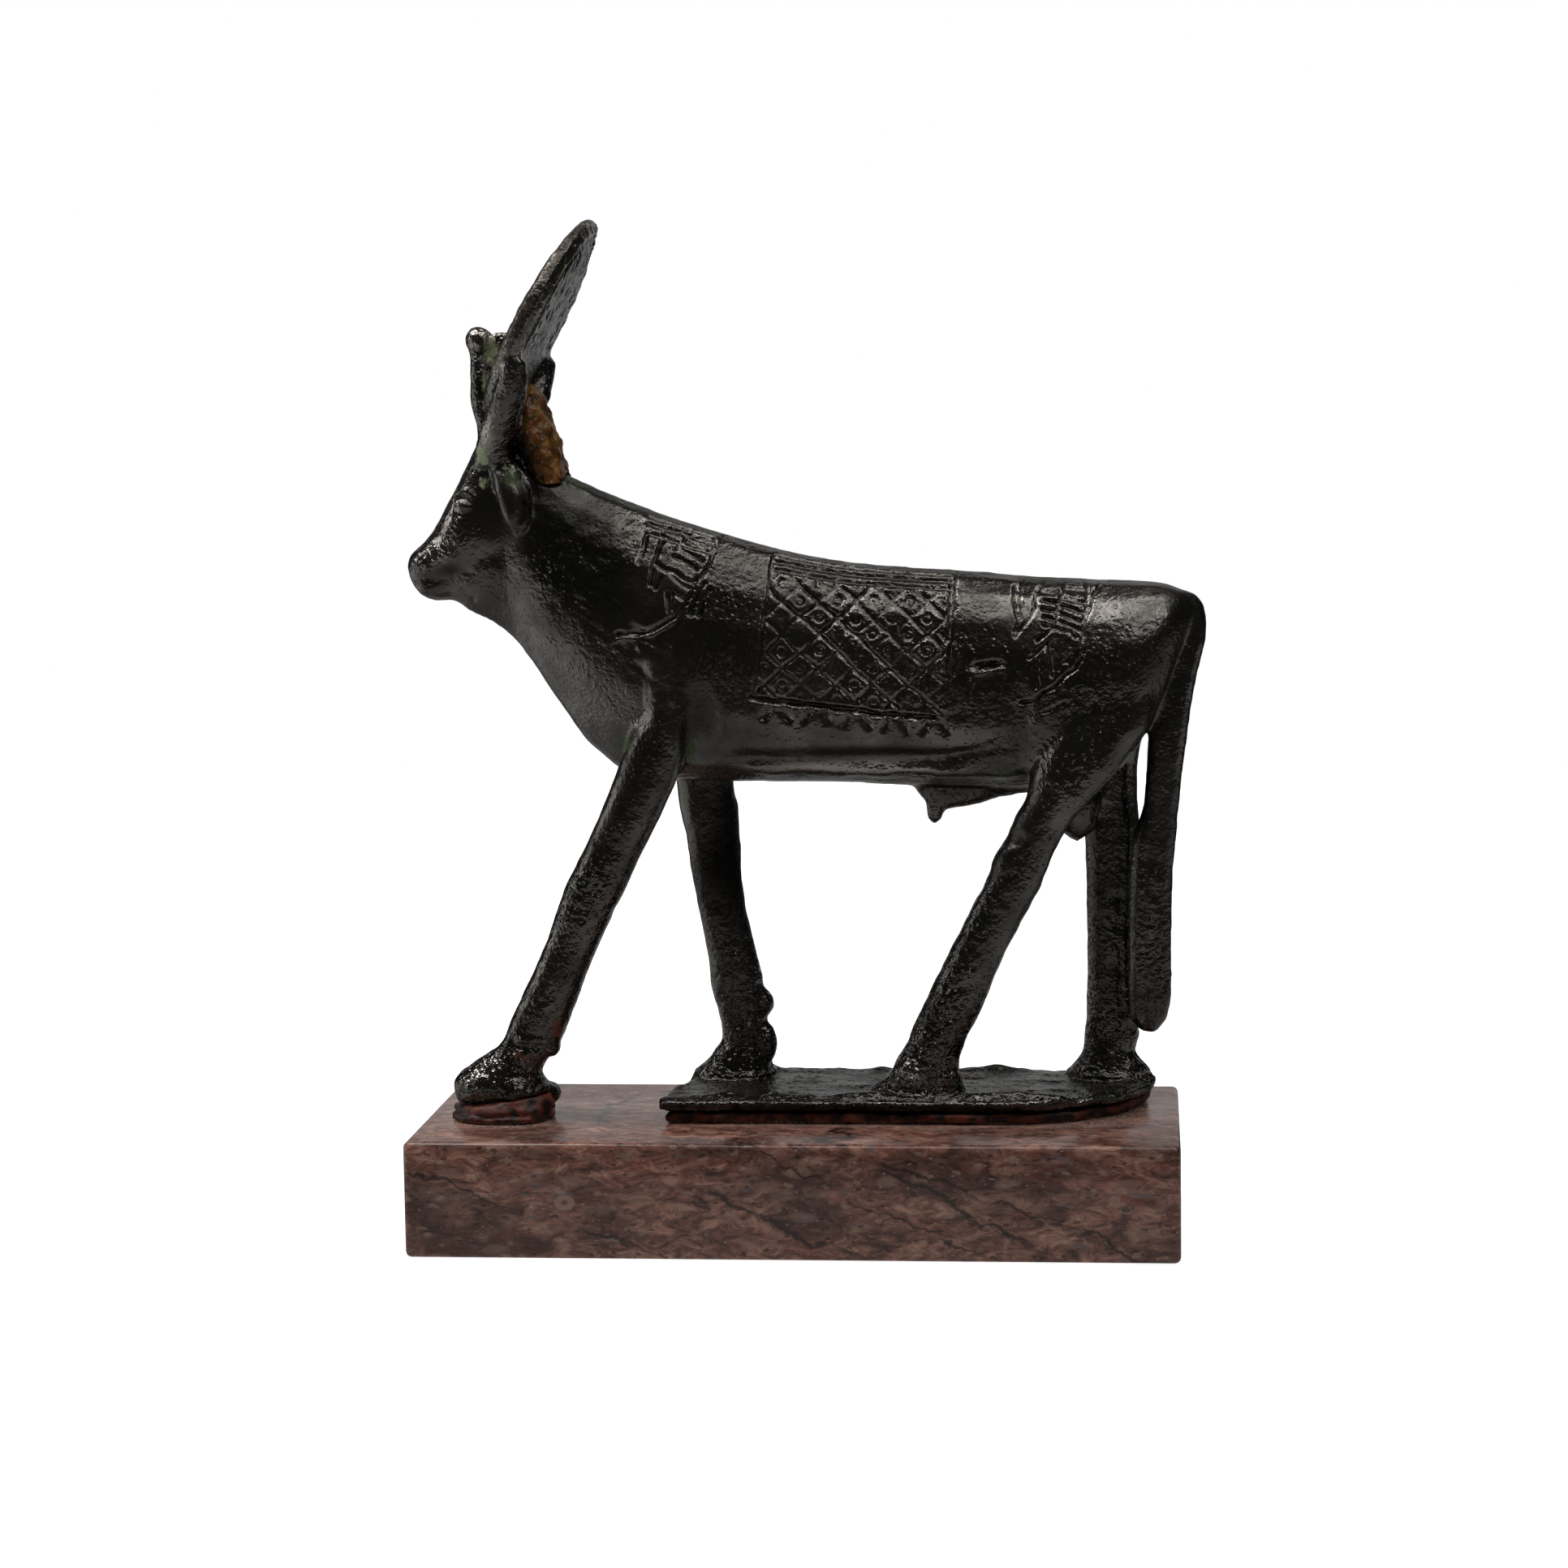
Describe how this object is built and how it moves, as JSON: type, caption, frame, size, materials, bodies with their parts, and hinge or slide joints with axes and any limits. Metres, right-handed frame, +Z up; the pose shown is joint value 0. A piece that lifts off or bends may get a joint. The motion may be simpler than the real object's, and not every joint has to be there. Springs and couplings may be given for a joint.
{
  "type": "apis bull figure",
  "caption": "Striding cast bronze Apis bull with a sun disc, cobra and broken horns on a thin ground plate, bedded on a block of polished limestone.",
  "frame": {"origin": "centre of the stone plinth's underside, on the surface it stands on", "axes": "+Z up; the bull faces -X; its near side, shown in the picture, faces -Y"},
  "size_m": [0.1001, 0.0384, 0.1269],
  "materials": {
    "bronze": "cast bronze with a dark brown-black patina, waxed, worn grey on the high places",
    "putty": "dark red-brown putty, matt",
    "ochre": "rough ochre fill, earthy and grainy",
    "limestone": "red-brown limestone with pale clasts and dark veins, polished"
  },
  "bodies": {
    "root": {"bronze_bull": "bronze", "plate_bed": "putty", "forefoot_bed": "putty", "nape_fill": "ochre", "stone_plinth": "limestone"}
  },
  "joints": []
}
